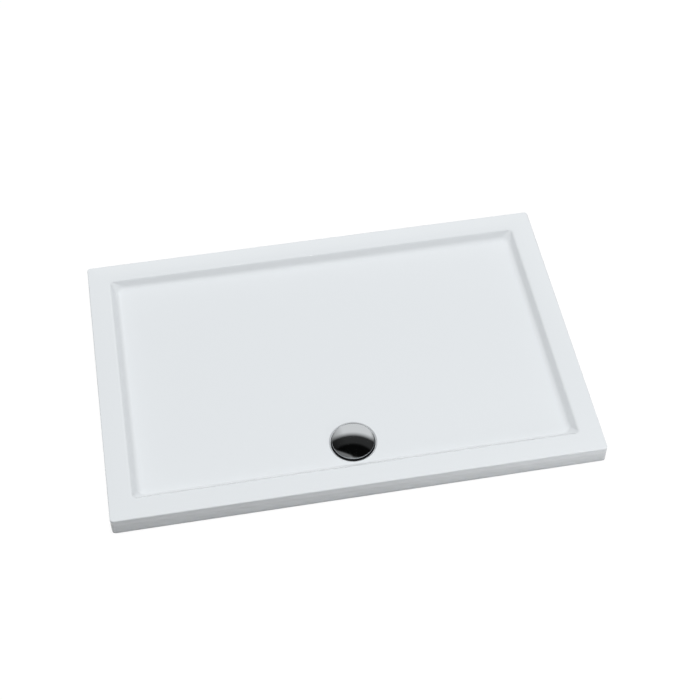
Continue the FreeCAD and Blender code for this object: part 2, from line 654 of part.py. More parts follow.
def strainer_basket():
    """Shallow basket with radial slots and two lifting tabs. It hangs by its rim on the tube's ledge."""
    body = new_body("strainer_basket")
    cup_low = f"({LEDGE_TOP} - basket_drop)"
    groove_low, groove_top = f"{SEAL_LEVEL} - {GROOVE_HALF}", f"{SEAL_LEVEL} + {GROOVE_HALF}"
    turn(body, [("0", cup_low), (CUP_RADIUS, cup_low), (CUP_RADIUS, groove_low),
                (GROOVE_RADIUS, groove_low), (GROOVE_RADIUS, groove_top), (CUP_RADIUS, groove_top),
                (CUP_RADIUS, LEDGE_TOP), (BASKET_RADIUS, LEDGE_TOP), (BASKET_RADIUS, BASKET_TOP),
                (CUP_BORE, BASKET_TOP), (CUP_BORE, f"{cup_low} + basket_floor"),
                ("0", f"{cup_low} + basket_floor")])
    edge = f"sqrt(({BASKET_RADIUS} - tab_gap) ^ 2 - tab_width ^ 2 / 4)"
    tab = new_sketch(body, lift=BASKET_TOP)
    draw_outline(tab, [(f"{edge} - tab_thickness", "-1 * tab_width / 2"), (edge, "-1 * tab_width / 2"),
                       (edge, "tab_width / 2"), (f"{edge} - tab_thickness", "tab_width / 2")])
    repeat_round(body, pad(body, tab, "tab_height"), "2")
    slot = new_sketch(body, lift=f"{cup_low} + basket_floor")
    end = f"({CUP_BORE} - slot_margin)"
    draw_outline(slot, [("slot_start", "-1 * slot_width / 2"), (end, "-1 * slot_width / 2"),
                        (end, "slot_width / 2"), ("slot_start", "slot_width / 2")])
    repeat_round(body, pocket(body, slot, "basket_floor"), "slot_count")
    return at_waste(body)


def strainer_seal():
    """O-ring in the groove of the basket's cup."""
    ring = doc.addObject("Part::Torus", "strainer_seal")
    ring.Label = "strainer_seal"
    bind(ring, Radius1=SEAL_RADIUS, Radius2="seal_section_radius")
    place(ring, "waste_shift", WASTE_Y, SEAL_LEVEL)
    return ring


def cover_carrier():
    """Moulded plate held by the cover's lip, with windows and with legs that stand on the basket's rim."""
    body = new_body("cover_carrier")
    edge = f"({COVER_RADIUS} - cover_sheet - carrier_clearance)"
    turn(body, [("0", CARRIER_LOW), (edge, CARRIER_LOW), (edge, f"{CARRIER_LOW} + carrier_thickness"),
                ("0", f"{CARRIER_LOW} + carrier_thickness")])
    face = f"sqrt({LEG_RADIUS} ^ 2 - leg_width ^ 2 / 4)"
    leg = new_sketch(body, lift=BASKET_TOP)
    draw_outline(leg, [(f"{face} - leg_thickness", "-1 * leg_width / 2"), (face, "-1 * leg_width / 2"),
                       (face, "leg_width / 2"), (f"{face} - leg_thickness", "leg_width / 2")])
    repeat_round(body, pad(body, leg, f"{CARRIER_LOW} - {BASKET_TOP}"), "leg_count")
    window = new_sketch(body, lift=f"{CARRIER_LOW} + carrier_thickness")
    far = f"({LEG_RADIUS} - leg_thickness - window_margin)"
    near_half = "(window_start * tan(180 / window_count) - window_rib / 2)"
    far_half = f"({far} * tan(180 / window_count) - window_rib / 2)"
    draw_outline(window, [("window_start", f"-1 * {near_half}"), (far, f"-1 * {far_half}"), (far, far_half),
                          ("window_start", near_half)])
    repeat_round(body, pocket(body, window, "carrier_thickness"), "window_count")
    bind(body, Placement__Rotation__Angle="leg_turn")
    return at_waste(body)


def cover_dome():
    """Domed cover pressed from sheet: the dome, an upright band and a lip turned in beneath."""
    body = new_body("cover_dome")
    shoulder = f"({COVER_LOW} + cover_band)"
    crown = f"({shoulder} + cover_rise)"
    inside, lip = f"{COVER_RADIUS} - cover_sheet", f"{COVER_RADIUS} - cover_lip"
    turn(body, [(lip, COVER_LOW), (COVER_RADIUS, COVER_LOW), (COVER_RADIUS, shoulder), ("0", crown),
                ("0", f"{crown} - cover_sheet"), (inside, f"{shoulder} - cover_sheet"),
                (inside, CARRIER_LOW), (lip, CARRIER_LOW)],
         domes=(2, 4))
    outermost = f"{COVER_RADIUS} - cover_sheet / 2"
    ease(body, "cover_roll_radius", at_level(shoulder, outside=outermost))
    ease(body, "cover_roll_radius - cover_sheet", at_level(f"{shoulder} - cover_sheet", inside=outermost))
    ease(body, "cover_sheet / 2", at_level(COVER_LOW, outside=outermost))
    return at_waste(body)


# ---------------------------------------------------------------- build, test and write


nodes = [tray_shell(), laminate_backing(), base_board(), board_laminate()]
nodes += rim_battens()
nodes += support_pads()
nodes += [pad_screws(), waste_flange()]
nodes += [
    flat_ring("flange_gasket", GASKET_BORE, GASKET_RADIUS, RECESS_LEVEL, "gasket_thickness"),
    flat_ring("lower_gasket", GASKET_BORE, GASKET_RADIUS, LOWER_GASKET_LOW, "gasket_thickness"),
    flat_ring("slip_washer", GASKET_BORE, GASKET_RADIUS, NUT_TOP, "washer_thickness"),
]
nodes += [back_nut(), strainer_basket(), strainer_seal(), cover_carrier(), cover_dome()]
doc.recompute()

for thing in doc.Objects:
    if "Invalid" in thing.State or "Error" in thing.State:
        raise RuntimeError(f"{thing.Label} is in state {thing.State}")
for node in nodes:
    if node.Shape.isNull() or not node.Shape.isValid() or not node.Shape.Solids:
        raise RuntimeError(f"{node.Label} has no sound solid")

os.makedirs("parts", exist_ok=True)
for node in nodes:
    node.Shape.exportStep(f"parts/{node.Label}.step")
    box = node.Shape.BoundBox
    print(f"{node.Label}: {len(node.Shape.Solids)} solids, {node.Shape.Volume / 1000:.2f} cm3,"
          f" z {box.ZMin:.2f} to {box.ZMax:.2f}")
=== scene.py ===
import math

import bmesh
import bpy
import numpy as np
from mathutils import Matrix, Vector


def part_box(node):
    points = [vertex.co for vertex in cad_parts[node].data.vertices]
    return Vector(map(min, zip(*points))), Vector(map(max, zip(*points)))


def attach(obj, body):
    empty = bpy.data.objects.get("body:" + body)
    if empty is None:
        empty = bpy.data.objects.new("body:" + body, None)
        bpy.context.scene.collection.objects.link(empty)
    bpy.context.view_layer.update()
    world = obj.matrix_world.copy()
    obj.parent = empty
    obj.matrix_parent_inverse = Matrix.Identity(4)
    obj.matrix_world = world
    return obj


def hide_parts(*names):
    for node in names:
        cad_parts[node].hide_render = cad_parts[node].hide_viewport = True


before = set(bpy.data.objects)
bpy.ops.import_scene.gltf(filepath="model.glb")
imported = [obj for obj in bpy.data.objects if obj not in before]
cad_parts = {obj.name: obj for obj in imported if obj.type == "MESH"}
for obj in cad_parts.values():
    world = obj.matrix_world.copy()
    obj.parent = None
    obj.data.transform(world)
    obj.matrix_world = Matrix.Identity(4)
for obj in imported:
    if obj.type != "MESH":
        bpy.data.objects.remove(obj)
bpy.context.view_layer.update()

# Shower tray: a white acrylic tray with a low rim, and a round waste with a domed chrome cover.
# Lengths are metres, +X runs along the long side, -Y is the side with the waste, and Z = 0 is the floor.

MM = 0.001

# ---------------------------------------------------------------- sizes


def corner_of(node, side):
    """One corner of a node's box as an array: side 0 is the lowest, side 1 the highest."""
    return np.array(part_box(node)[side])


# The walls lean by WALL_RUN in WALL_HEIGHT. The basin's corners grow from BASIN_CORNER_RADIUS at the rim to
# LOW_CORNER_RADIUS at LOFT_HEIGHT below it. WASTE_DEPTH is the floor's depth at the recess.
HALF_LENGTH, HALF_WIDTH, RIM_LEVEL = corner_of("tray_shell", 1)
CORNER_RADIUS = 9 * MM
OUTER_EDGE_RADIUS = 3 * MM
RIM_WIDTH = 56 * MM
WALL_RUN = 17 * MM
WALL_HEIGHT = 20 * MM
BASIN_CORNER_RADIUS = 10 * MM
LOW_CORNER_RADIUS = 28 * MM
LOFT_HEIGHT = 37 * MM
RIM_EDGE_RADIUS = 9 * MM
FOOT_RADIUS = 12 * MM
SIDE_FOOT_RADIUS = 22 * MM
WASTE_DEPTH = 24 * MM
FALL = 0.007
SHEET = 4 * MM
RECESS_DEPTH = 5 * MM
RECESS_RUN = 3 * MM
RECESS_EDGE_RADIUS = 2 * MM
RECESS_FOOT_RADIUS = 1.5 * MM
RECESS_BEYOND_FLANGE = 4 * MM
WASTE_HOLE_RADIUS = 45 * MM
BACK_EDGE_RADIUS = 1 * MM

FLANGE_LOW, FLANGE_HIGH = corner_of("waste_flange", 0), corner_of("waste_flange", 1)
WASTE = (FLANGE_LOW + FLANGE_HIGH)[:2] / 2
RECESS_RADIUS = (FLANGE_HIGH - FLANGE_LOW)[0] / 2 + RECESS_BEYOND_FLANGE
FLOOR_LEVEL = RIM_LEVEL - WASTE_DEPTH
WALL_LEAN = math.atan(WALL_HEIGHT / WALL_RUN)
RECESS_LEAN = math.atan(RECESS_DEPTH / RECESS_RUN)

COVER_LOW, COVER_HIGH = corner_of("cover_dome", 0), corner_of("cover_dome", 1)
COVER_RADIUS = (COVER_HIGH - COVER_LOW)[0] / 2
COVER_BAND = 4.5 * MM
COVER_ROLL = 1.3 * MM
COVER_METAL = 1 * MM
COVER_LIP = 3 * MM
COVER_EDGE = 0.5 * MM

PADS = sorted(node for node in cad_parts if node.startswith("support_pad"))
SCREW_LOW, SCREW_TOP = corner_of("pad_screws", 0)[2], corner_of("pad_screws", 1)[2]
HEAD_RADIUS = 4 * MM
HEAD_HEIGHT = 2.2 * MM
SHANK_RADIUS = 2 * MM
TIP_LENGTH = 3 * MM
CROSS_REACH = 2.3 * MM
CROSS_WIDTH = 1.1 * MM
CROSS_DEPTH = 1.4 * MM
CROSS_SLOPE = 0.35 * MM

# ---------------------------------------------------------------- meshes

SAME_PLACE = 1e-7


def mesh_object(name, points, faces):
    """A mesh object at the origin, with smooth faces, from an array of points and one of faces. Points that
    lie in one place, as at a pole, become one."""
    mesh = bpy.data.meshes.new(name)
    mesh.from_pydata(points.reshape(-1, 3).tolist(), [], faces.tolist())
    grown = bmesh.new()
    grown.from_mesh(mesh)
    bmesh.ops.remove_doubles(grown, verts=grown.verts, dist=SAME_PLACE)
    grown.to_mesh(mesh)
    grown.free()
    mesh.polygons.foreach_set("use_smooth", np.ones(len(mesh.polygons), bool))
    mesh.update()
    piece = bpy.data.objects.new(name, mesh)
    bpy.context.scene.collection.objects.link(piece)
    return piece


def grid_faces(rows, columns, close_rows):
    """Quads between neighbouring points of a grid. The columns close on themselves, and the rows if told."""
    row = np.arange(rows if close_rows else rows - 1)[:, None] * columns
    column = np.arange(columns)[None, :]
    after, beside = (row + columns) % (rows * columns), (column + 1) % columns
    corners = (row + column, after + column, after + beside, row + beside)
    return np.stack(corners, axis=-1).reshape(-1, 4)


def turned(profile, middle, steps):
    """A surface of revolution as a grid: each profile point, a radius and a level, goes once round the
    upright axis through the middle."""
    angles = np.arange(steps) / steps * 2 * math.pi
    rays = np.stack([np.cos(angles), np.sin(angles)], axis=1)
    plan = middle + profile[:, 0, None, None] * rays
    levels = np.broadcast_to(profile[:, 1, None, None], (len(profile), steps, 1))
    return np.concatenate([plan, levels], axis=2)


def rounded(before, corner, after, radius, steps):
    """Each row of corner points turned into an arc of that radius: a quadratic curve whose middle weight is
    the cosine of half the turn, which is an exact circle where the two sides are equal."""
    back, on = before - corner, after - corner
    back /= np.linalg.norm(back, axis=1, keepdims=True)
    on /= np.linalg.norm(on, axis=1, keepdims=True)
    half = (math.pi - np.arccos(np.clip((back * on).sum(1), -1, 1))) / 2
    tangent = (radius * np.tan(half))[:, None]
    weight = np.cos(half)[:, None]
    first, last = corner + back * tangent, corner + on * tangent
    curve = []
    for share in np.linspace(0, 1, steps + 1):
        sides = (1 - share) ** 2, 2 * share * (1 - share) * weight, share**2
        curve.append((first * sides[0] + corner * sides[1] + last * sides[2]) / sum(sides))
    return curve


# ---------------------------------------------------------------- the acrylic sheet

# Steps along the front, the right, the rear and the left side, and the turn of each.
SIDE_STEPS = (46, 40, 58, 40)
SIDE_TURNS = np.arange(len(SIDE_STEPS)) * math.pi / 2
CORNER_STEPS = 18
FLOOR_STEPS = 15
RECESS_FOOT_STEPS = 4
RECESS_EDGE_STEPS = 6
FOOT_STEPS = 14
RIM_EDGE_STEPS = 12
OUTER_EDGE_STEPS = 10
# The floor's rings lie closer together near the waste, by this power.
FLOOR_SPREAD = 1.6
FOOT_INSET = RIM_WIDTH + WALL_RUN
# How far inside the walls' foot the slope of the floor is read.
NEAR_STEP = 1 * MM
# How far past the foot's bend the floor's own rings end, and how much of a wider radius they keep clear of.
FOOT_MARGIN = 0.45 * MM
FOOT_SPREAD = 0.7


def side_directions(side):
    """A side's outward direction, and the direction that the outline takes along it."""
    turn = SIDE_TURNS[side]
    outward = np.array([round(math.sin(turn)), -round(math.cos(turn))])
    return outward, np.array([-outward[1], outward[0]])


def side_shares():
    """Where the points of each side lie, as shares of its length. They are at even angles as seen from the
    waste, so that the rings near the waste are as smooth as the rings far from it."""
    middles = (HALF_LENGTH - FOOT_INSET, HALF_WIDTH - FOOT_INSET)
    shares = []
    for side, steps in enumerate(SIDE_STEPS):
        outward, onward = side_directions(side)
        reach = abs(outward @ middles)
        half = abs(onward @ middles)
        away = reach - WASTE @ outward
        start, finish = (-half - WASTE @ onward) / away, (half - WASTE @ onward) / away
        angles = np.linspace(math.atan(start), math.atan(finish), steps + 1)
        shares.append((np.tan(angles) - start) / (finish - start))
    return shares


SIDE_SHARES = side_shares()


def ring(inset, radius):
    """A rounded rectangle inside the tray's outline, anticlockwise from its front left: on each side, points
    at the shares above, then a quarter circle. Gives the points and their outward directions."""
    reach = np.array([HALF_LENGTH, HALF_WIDTH]) - inset
    middle = reach - radius
    points, outward = [], []
    for side, shares in enumerate(SIDE_SHARES):
        out, on = side_directions(side)
        along = (2 * shares[:, None] - 1) * abs(on @ middle) * on
        points.append(along + out * abs(out @ reach))
        outward.append(np.tile(out, (len(shares), 1)))
        angles = SIDE_TURNS[side] - math.pi / 2 + np.arange(1, CORNER_STEPS) / CORNER_STEPS * math.pi / 2
        rays = np.stack([np.cos(angles), np.sin(angles)], axis=1)
        points.append((out + on) * middle + radius * rays)
        outward.append(rays)
    return np.concatenate(points), np.concatenate(outward).astype(float)


def lifted(plan, level):
    """Plan points as points in space, at one level or one level each."""
    return np.column_stack([plan, np.broadcast_to(level, len(plan))])


def recess_edge(offset):
    """The recess's radius at the basin floor, on a face that lies offset under the finished one."""
    return RECESS_RADIUS + offset * math.tan(RECESS_LEAN / 2)


def floor_height(plan, offset):
    """The basin floor's level: a very flat cone about the waste, an offset below its finished face."""
    away = np.linalg.norm(plan - WASTE, axis=1)
    return FLOOR_LEVEL - offset + FALL * (away - recess_edge(offset))


def tray_face(offset, edge_radius, outer_radius, front_foot, side_foot, recess_radius, hollow_radius):
    """One face of the sheet, from the waste's hole out to the skirt's lower edge, as a list of rings. The
    walls are rings whose inset and corner radius grow evenly with depth. The floor is a flat cone. The
    walls' foot has its own radius at the front, where it comes close to the waste's recess. Each bend is
    an arc in the plane square to its ring."""
    grow = offset * math.tan(WALL_LEAN / 2)

    def wall_plan(depth):
        share = depth / (LOFT_HEIGHT - offset)
        corner = BASIN_CORNER_RADIUS * (1 - share) + LOW_CORNER_RADIUS * share
        return RIM_WIDTH - grow + depth * WALL_RUN / WALL_HEIGHT, corner + grow

    def wall(depth):
        return lifted(ring(*wall_plan(depth))[0], RIM_LEVEL - offset - depth)

    top, deepest = wall(0), wall(WASTE_DEPTH)
    gap_above = top[:, 2] - floor_height(top[:, :2], offset)
    gap_below = deepest[:, 2] - floor_height(deepest[:, :2], offset)
    foot = top + (deepest - top) * (gap_above / (gap_above - gap_below))[:, None]
    foot[:, 2] = floor_height(foot[:, :2], offset)

    reach = front_foot * math.tan(WALL_LEAN / 2) + FOOT_MARGIN
    inset, corner = wall_plan(WASTE_DEPTH)
    finish, outward = ring(inset + reach, corner - reach)
    wider = (side_foot - front_foot) * np.clip(1 + outward[:, 1], 0, 1)
    finish = finish - outward * (wider * FOOT_SPREAD)[:, None]
    inner = foot[:, :2] - outward * NEAR_STEP
    inner = lifted(inner, floor_height(inner, offset))
    angles = np.arctan2(*(finish - WASTE).T[::-1])
    rays = np.stack([np.cos(angles), np.sin(angles)], axis=1)

    def circle(radius, level):
        return lifted(WASTE + rays * radius, level)

    edge = recess_edge(offset)
    deep = FLOOR_LEVEL - RECESS_DEPTH - offset
    hole = circle(WASTE_HOLE_RADIUS, deep)
    hollow = circle(edge - RECESS_RUN, deep)
    brink = circle(edge, FLOOR_LEVEL - offset)
    floor_end = lifted(finish, floor_height(finish, offset))
    outer, _ = ring(offset, CORNER_RADIUS - offset)
    rim = lifted(outer, RIM_LEVEL - offset)
    skirt = lifted(outer, 0)

    rows = [hole, *rounded(hole, hollow, brink, hollow_radius, RECESS_FOOT_STEPS)]
    rows += rounded(hollow, brink, floor_end, recess_radius, RECESS_EDGE_STEPS)
    start = rows[-1][:, :2]
    for share in np.linspace(0, 1, FLOOR_STEPS)[1:] ** FLOOR_SPREAD:
        plan = start + (finish - start) * share
        rows.append(lifted(plan, floor_height(plan, offset)))
    along = np.column_stack([-outward[:, 1], outward[:, 0], np.zeros(len(outward))])
    up = top - foot
    up -= along * (up * along).sum(1, keepdims=True)
    level = lifted(outward, 0)
    rows += rounded(inner, foot, foot + up, front_foot + wider, FOOT_STEPS)
    rows += rounded(top - up, top, top + level, edge_radius, RIM_EDGE_STEPS)
    rows += rounded(rim - level, rim, skirt, outer_radius, OUTER_EDGE_STEPS)
    rows.append(skirt)
    return rows


def drawn_sheet():
    """The acrylic sheet: its finished face from the hole out to the skirt's foot, then its back face home."""
    feet = (FOOT_RADIUS, SIDE_FOOT_RADIUS)
    front = tray_face(0, RIM_EDGE_RADIUS, OUTER_EDGE_RADIUS, *feet, RECESS_EDGE_RADIUS, RECESS_FOOT_RADIUS)
    edge = BACK_EDGE_RADIUS
    back = tray_face(SHEET, edge, edge / 2, edge, edge, edge, edge / 2)
    rows = np.array(front + back[::-1])
    return mesh_object("acrylic_tray", rows, grid_faces(len(rows), rows.shape[1], True))


# ---------------------------------------------------------------- the waste's cover and the pads' screws

COVER_STEPS = 192
DOME_STEPS = 40
ROLL_STEPS = 14
COVER_EDGE_STEPS = 4
SCREW_STEPS = 48
HEAD_RINGS = 16


def dome(radius, shoulder, crown, roll):
    """A dome's profile from its crown to its upright band: an arc through the crown that would meet the band
    at the shoulder, with that corner rolled."""
    rise = crown - shoulder
    bulge = (radius**2 + rise**2) / (2 * rise)
    middle = crown - bulge
    reach = radius - roll
    hub = middle + math.sqrt((bulge - roll) ** 2 - reach**2)
    lean = math.asin(reach / (bulge - roll))
    arc, turn = np.linspace(0, lean, DOME_STEPS), np.linspace(lean, math.pi / 2, ROLL_STEPS)[1:]
    cap = np.column_stack([bulge * np.sin(arc), middle + bulge * np.cos(arc)])
    return np.vstack([cap, np.column_stack([reach + roll * np.sin(turn), hub + roll * np.cos(turn)])])


def pressed_cover():
    """The cover: its outer face from the crown down to the lip turned in below, then its inner face home."""
    low, crown = COVER_LOW[2], COVER_HIGH[2]
    shoulder = low + COVER_BAND
    inner_radius = COVER_RADIUS - COVER_METAL
    outside = dome(COVER_RADIUS, shoulder, crown, COVER_ROLL)
    inside = dome(inner_radius, shoulder - COVER_METAL, crown - COVER_METAL, COVER_ROLL - COVER_METAL)
    turn = np.linspace(0, math.pi / 2, COVER_EDGE_STEPS + 1)
    edge_radii = COVER_RADIUS - COVER_EDGE * (1 - np.cos(turn))
    edge_levels = low + COVER_EDGE * (1 - np.sin(turn))
    lip_reach = COVER_RADIUS - COVER_LIP
    lip = [(lip_reach, low), (lip_reach, low + COVER_METAL), (inner_radius, low + COVER_METAL)]
    profile = np.vstack([outside, np.column_stack([edge_radii, edge_levels]), lip, inside[::-1]])
    rows = turned(profile, WASTE, COVER_STEPS)
    return mesh_object("chrome_cover", rows, grid_faces(len(rows), COVER_STEPS, False))


def screw_points(middle):
    """A countersunk screw, point up: a turned profile, whose head has a cross cut into its flat, as deep as a
    point lies inside either arm."""
    side = [(0, SCREW_TOP), (SHANK_RADIUS, SCREW_TOP - TIP_LENGTH)]
    side += [(SHANK_RADIUS, SCREW_LOW + HEAD_HEIGHT), (HEAD_RADIUS, SCREW_LOW)]
    flat = [(radius, SCREW_LOW) for radius in np.linspace(HEAD_RADIUS, 0, HEAD_RINGS)[1:]]
    rows = turned(np.array(side + flat), np.zeros(2), SCREW_STEPS)
    along, across = np.abs(rows[:, :, 0]), np.abs(rows[:, :, 1])
    arm_along = np.maximum(along - CROSS_REACH, across - CROSS_WIDTH / 2)
    arm_across = np.maximum(across - CROSS_REACH, along - CROSS_WIDTH / 2)
    inside = np.clip(-np.minimum(arm_along, arm_across) / CROSS_SLOPE, 0, 1) * CROSS_DEPTH
    inside[:len(side)] = 0
    rows[:, :, 2] += inside
    rows[:, :, :2] += middle
    return rows


def cross_head_screws():
    """One screw up through the middle of each pad."""
    screws = [screw_points((corner_of(pad, 0) + corner_of(pad, 1))[:2] / 2) for pad in PADS]
    faces = grid_faces(len(screws[0]), SCREW_STEPS, False)
    points_each = screws[0].shape[0] * SCREW_STEPS
    every_face = np.concatenate([faces + index * points_each for index in range(len(screws))])
    return mesh_object("cross_head_screws", np.array(screws), every_face)


# ---------------------------------------------------------------- materials

# Where the Mix node keeps its two colours among its inputs, and the mixed colour among its outputs.
COLOUR_A = 6
COLOUR_B = 7
MIXED_COLOUR = 2


def linear(code):
    """An sRGB hex colour as the linear colour that shaders use."""
    shares = [int(code[at:at + 2], 16) / 255 for at in (1, 3, 5)]
    return tuple(s / 12.92 if s <= 0.04045 else ((s + 0.055) / 1.055) ** 2.4 for s in shares) + (1,)


def add(tree, kind, inputs=None, stops=(), **settings):
    """Adds one shader node. Inputs are values, or (node, output) pairs, which are linked. Stops are a colour
    ramp's places and colours, in order."""
    made = tree.nodes.new(kind)
    for name, value in settings.items():
        setattr(made, name, value)
    for name, value in (inputs or {}).items():
        if isinstance(value, tuple) and isinstance(value[0], bpy.types.Node):
            tree.links.new(value[0].outputs[value[1]], made.inputs[name])
        else:
            made.inputs[name].default_value = value
    for index, (at, colour) in enumerate(stops):
        if index == len(made.color_ramp.elements):
            made.color_ramp.elements.new(1)
        made.color_ramp.elements[index].position = at
        made.color_ramp.elements[index].color = colour
    return made


def new_material(name):
    """An empty material, and its node that gives places on the object in metres."""
    material = bpy.data.materials.new(name)
    material.use_nodes = True
    material.node_tree.nodes.clear()
    return material, material.node_tree, add(material.node_tree, "ShaderNodeTexCoord")


def finish_with(tree, shader):
    """Sends a shader to its material's output."""
    add(tree, "ShaderNodeOutputMaterial", {"Surface": (shader, 0)})


def cast_acrylic():
    """Cast acrylic (PMMA), drawn over a mould: a clear deep gloss, with the faint unevenness of a drawn sheet
    and the fine wipe marks that dull it a little in places."""
    material, tree, where = new_material("cast_acrylic")
    # The sheet's waves are about 35 mm from crest to crest and a few hundredths of a millimetre high.
    waves = add(tree, "ShaderNodeTexNoise", {"Vector": (where, "Object"), "Scale": 28, "Detail": 1})
    bump = add(tree, "ShaderNodeBump", {"Strength": 0.15, "Distance": 0.1 * MM, "Height": (waves, "Fac")})
    # The wipe marks are about 110 mm across.
    wipes = add(tree, "ShaderNodeTexNoise", {"Vector": (where, "Object"), "Scale": 9, "Detail": 4})
    gloss = add(tree, "ShaderNodeMapRange", {"Value": (wipes, "Fac"), "To Min": 0.06, "To Max": 0.11})
    shader = add(tree, "ShaderNodeBsdfPrincipled",
                 {"Base Color": linear("#E4E8EB"), "IOR": 1.49, "Roughness": (gloss, 0), "Normal": (bump, 0)})
    finish_with(tree, shader)
    return material


def chrome_plate():
    """Chromium plated on polished metal: a mirror, a little blue, with hardly any haze."""
    material, tree, where = new_material("chrome_plate")
    # The haze lies in patches about 6 mm across.
    wipes = add(tree, "ShaderNodeTexNoise", {"Vector": (where, "Object"), "Scale": 160, "Detail": 3})
    haze = add(tree, "ShaderNodeMapRange", {"Value": (wipes, "Fac"), "To Min": 0.03, "To Max": 0.08})
    shader = add(tree, "ShaderNodeBsdfPrincipled",
                 {"Base Color": linear("#C6C9CB"), "Metallic": 1, "Roughness": (haze, 0)})
    finish_with(tree, shader)
    return material


def glass_fibre_laminate():
    """Chopped glass strands rolled into polyester resin: straw-coloured and glossy in the hollows, with the
    strands lying every way and standing a little proud."""
    material, tree, where = new_material("glass_fibre_laminate")
    strands = None
    for turn in (0.3, 1.35, 2.4):
        # A strand shows about 30 mm long and 1.2 mm wide, and the three families lie 60 degrees apart.
        laid = add(tree, "ShaderNodeMapping", {"Vector": (where, "Object"), "Rotation": (0, 0, turn),
                                               "Scale": (30 * MM, 1.2 * MM, 3 * MM)}, vector_type="TEXTURE")
        family = add(tree, "ShaderNodeTexNoise", {"Vector": (laid, 0), "Scale": 1, "Detail": 2})
        if strands:
            strands = add(tree, "ShaderNodeMath", {0: (strands, 0), 1: (family, 0)}, operation="MAXIMUM")
        else:
            strands = family
    # The pools of resin are about 70 mm across.
    pools = add(tree, "ShaderNodeTexNoise", {"Vector": (where, "Object"), "Scale": 14, "Detail": 3})
    mat = add(tree, "ShaderNodeValToRGB", {"Fac": (strands, 0)},
              stops=((0.5, linear("#A89C6F")), (0.72, linear("#D8D0AC"))))
    resin = add(tree, "ShaderNodeValToRGB", {"Fac": (pools, "Fac")},
                stops=((0.35, linear("#B8AD80")), (0.65, linear("#EFE9CF"))))
    colour = add(tree, "ShaderNodeMix", {COLOUR_A: (mat, 0), COLOUR_B: (resin, 0), "Factor": 0.45},
                 data_type="RGBA")
    gloss = add(tree, "ShaderNodeMapRange", {"Value": (strands, 0), "From Min": 0.5, "From Max": 0.75,
                                             "To Min": 0.25, "To Max": 0.55})
    bump = add(tree, "ShaderNodeBump", {"Strength": 0.8, "Distance": 0.5 * MM, "Height": (strands, 0)})
    shader = add(tree, "ShaderNodeBsdfPrincipled",
                 {"Base Color": (colour, MIXED_COLOUR), "IOR": 1.55, "Roughness": (gloss, 0),
                  "Normal": (bump, 0)})
    finish_with(tree, shader)
    return material


def particle_board():
    """Sawn particle board: pressed chips a few millimetres long, each a little lighter or darker."""
    material, tree, where = new_material("particle_board")
    # A chip is about 4.5 mm long, 3.3 mm wide and 1.4 mm thick.
    laid = add(tree, "ShaderNodeMapping", {"Vector": (where, "Object"), "Scale": (220, 300, 700)})
    chips = add(tree, "ShaderNodeTexVoronoi", {"Vector": (laid, 0), "Scale": 1})
    shade = add(tree, "ShaderNodeSeparateColor", {"Color": (chips, "Color")})
    colour = add(tree, "ShaderNodeValToRGB", {"Fac": (shade, 0)},
                 stops=((0, linear("#8C693F")), (0.5, linear("#B48D5C")), (1, linear("#CFAE7D"))))
    bump = add(tree, "ShaderNodeBump", {"Strength": 0.5, "Distance": 0.3 * MM, "Height": (chips, "Distance")})
    shader = add(tree, "ShaderNodeBsdfPrincipled",
                 {"Base Color": (colour, 0), "IOR": 1.5, "Roughness": 0.75, "Normal": (bump, 0)})
    finish_with(tree, shader)
    return material


def softwood(name, stretch):
    """Planed pine: straw-coloured early wood between darker rings about 5 mm apart, drawn out along the
    piece, and a satin surface with fine open grain."""
    material, tree, where = new_material(name)
    # Across the piece the tone changes over about 25 mm, and the fibres are about 1 mm wide.
    drawn = add(tree, "ShaderNodeMapping", {"Vector": (where, "Object"), "Scale": stretch})
    sway = add(tree, "ShaderNodeTexNoise", {"Vector": (drawn, 0), "Scale": 40, "Detail": 2})
    rings = add(tree, "ShaderNodeTexWave", {"Vector": (drawn, 0), "Scale": 120, "Distortion": 6, "Detail": 2,
                                            "Detail Scale": 0.3}, bands_direction="DIAGONAL")
    fibre = add(tree, "ShaderNodeTexNoise", {"Vector": (drawn, 0), "Scale": 900, "Detail": 3})
    wood = add(tree, "ShaderNodeValToRGB", {"Fac": (rings, "Fac")},
               stops=((0.1, linear("#E3CDA4")), (0.7, linear("#D8BC8C")), (1, linear("#B0854F"))))
    tone = add(tree, "ShaderNodeValToRGB", {"Fac": (sway, "Fac")},
               stops=((0.3, linear("#CFAE7C")), (0.7, linear("#E9D5B0"))))
    colour = add(tree, "ShaderNodeMix", {COLOUR_A: (wood, 0), COLOUR_B: (tone, 0), "Factor": 0.35},
                 data_type="RGBA")
    bump = add(tree, "ShaderNodeBump", {"Strength": 0.4, "Distance": 0.15 * MM, "Height": (fibre, "Fac")})
    shader = add(tree, "ShaderNodeBsdfPrincipled",
                 {"Base Color": (colour, MIXED_COLOUR), "IOR": 1.5, "Roughness": 0.6, "Normal": (bump, 0)})
    finish_with(tree, shader)
    return material


def moulded_rubber(name, code):
    """EPDM rubber, pressed in a mould: dull, nearly black, with a fine grain and a little dust in it."""
    material, tree, where = new_material(name)
    # The dust lies in patches about 11 mm across. The grain is drawn 0.6 mm wide, coarser than real, to show.
    dust = add(tree, "ShaderNodeTexNoise", {"Vector": (where, "Object"), "Scale": 90, "Detail": 5})
    colour = add(tree, "ShaderNodeValToRGB", {"Fac": (dust, "Fac")},
                 stops=((0.4, linear(code)), (0.8, linear("#4A4A48"))))
    grain = add(tree, "ShaderNodeTexNoise", {"Vector": (where, "Object"), "Scale": 1800, "Detail": 2})
    bump = add(tree, "ShaderNodeBump", {"Strength": 0.4, "Distance": 0.05 * MM, "Height": (grain, "Fac")})
    shader = add(tree, "ShaderNodeBsdfPrincipled",
                 {"Base Color": (colour, 0), "IOR": 1.52, "Roughness": 0.7, "Normal": (bump, 0)})
    finish_with(tree, shader)
    return material


